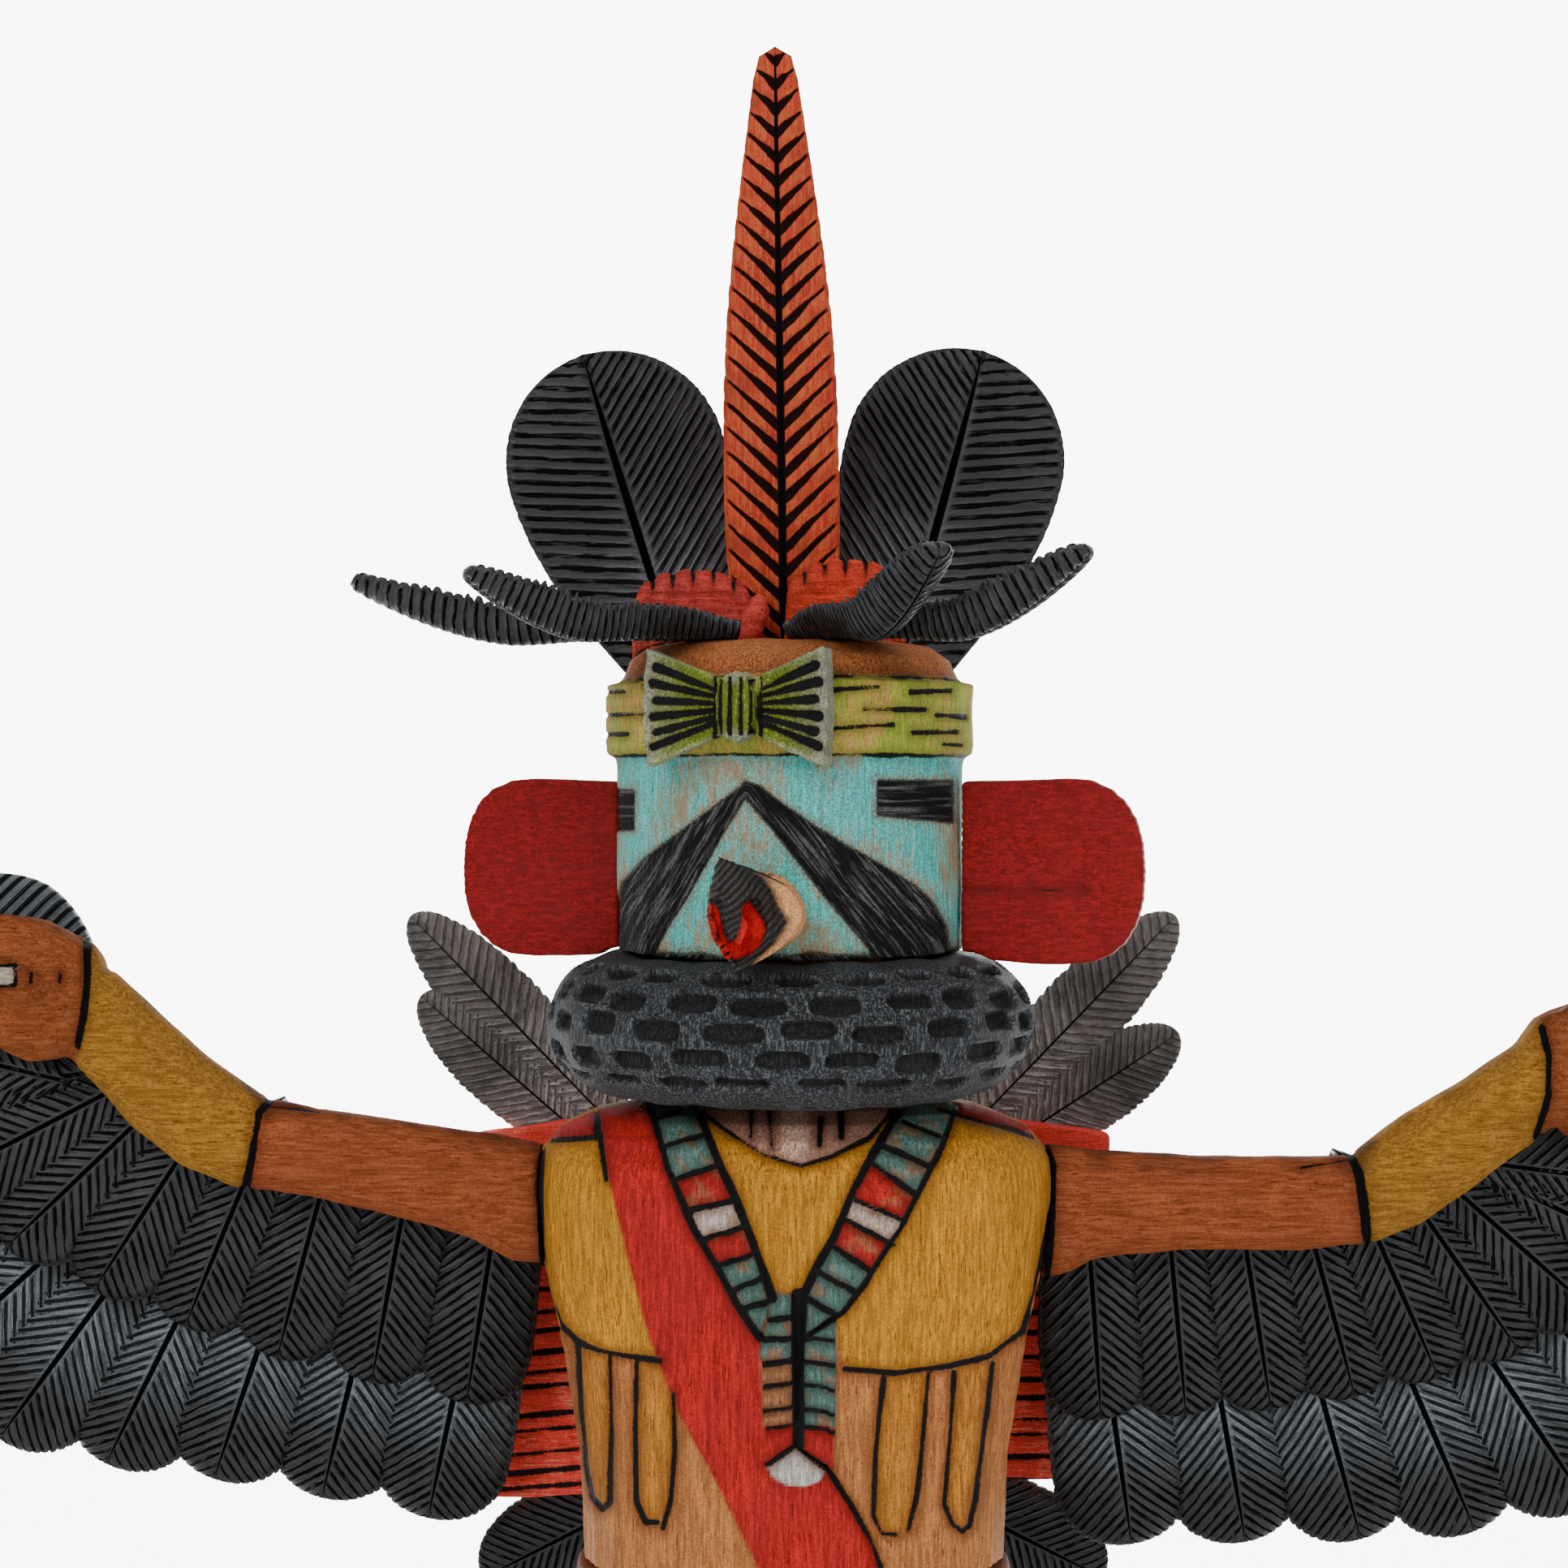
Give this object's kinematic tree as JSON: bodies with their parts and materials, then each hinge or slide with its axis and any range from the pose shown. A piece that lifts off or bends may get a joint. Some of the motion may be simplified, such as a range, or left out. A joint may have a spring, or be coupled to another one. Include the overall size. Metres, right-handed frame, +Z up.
{
  "type": "kachina doll",
  "caption": "Carved wooden winged dancer doll with a case mask, feather crest, collar ruff and outstretched feathered arms on a low round base.",
  "frame": {"origin": "centre of the base's underside", "axes": "+Z up, the figure faces -Y, +X to the viewer's right"},
  "size_m": [0.2988, 0.108, 0.3752],
  "materials": {
    "stand_wood": "matte paint on wood",
    "body_wood": "matte paint on wood",
    "mask_paint": "matte paint on wood",
    "ruff_black": "matte paint on wood",
    "beak_black": "matte paint on wood",
    "bow_green": "matte paint on wood",
    "crest_red": "matte paint on wood",
    "ear_red": "matte paint on wood",
    "feather_black": "matte paint on wood",
    "tuft_red": "matte paint on wood",
    "arm_wood": "matte paint on wood",
    "wing_black": "matte paint on wood",
    "panel_red": "matte paint on wood",
    "cape_grey": "matte paint on wood",
    "tail_black": "matte paint on wood"
  },
  "bodies": {
    "root": {"base": "stand_wood", "body": "body_wood", "head": "mask_paint", "ruff": "ruff_black", "beak": "beak_black", "headband_bow": "bow_green", "crest_feather": "crest_red", "ear_left": "ear_red", "ear_right": "ear_red", "round_feather_left": "feather_black", "round_feather_right": "feather_black", "side_feathers_left": "feather_black", "side_feathers_right": "feather_black", "red_tuft_left": "tuft_red", "red_tuft_right": "tuft_red", "arm_left": "arm_wood", "arm_right": "arm_wood", "wing_left": "wing_black", "wing_right": "wing_black", "back_panel": "panel_red", "cape_feathers_left": "cape_grey", "cape_feathers_right": "cape_grey", "tail_fan": "tail_black"}
  },
  "joints": []
}
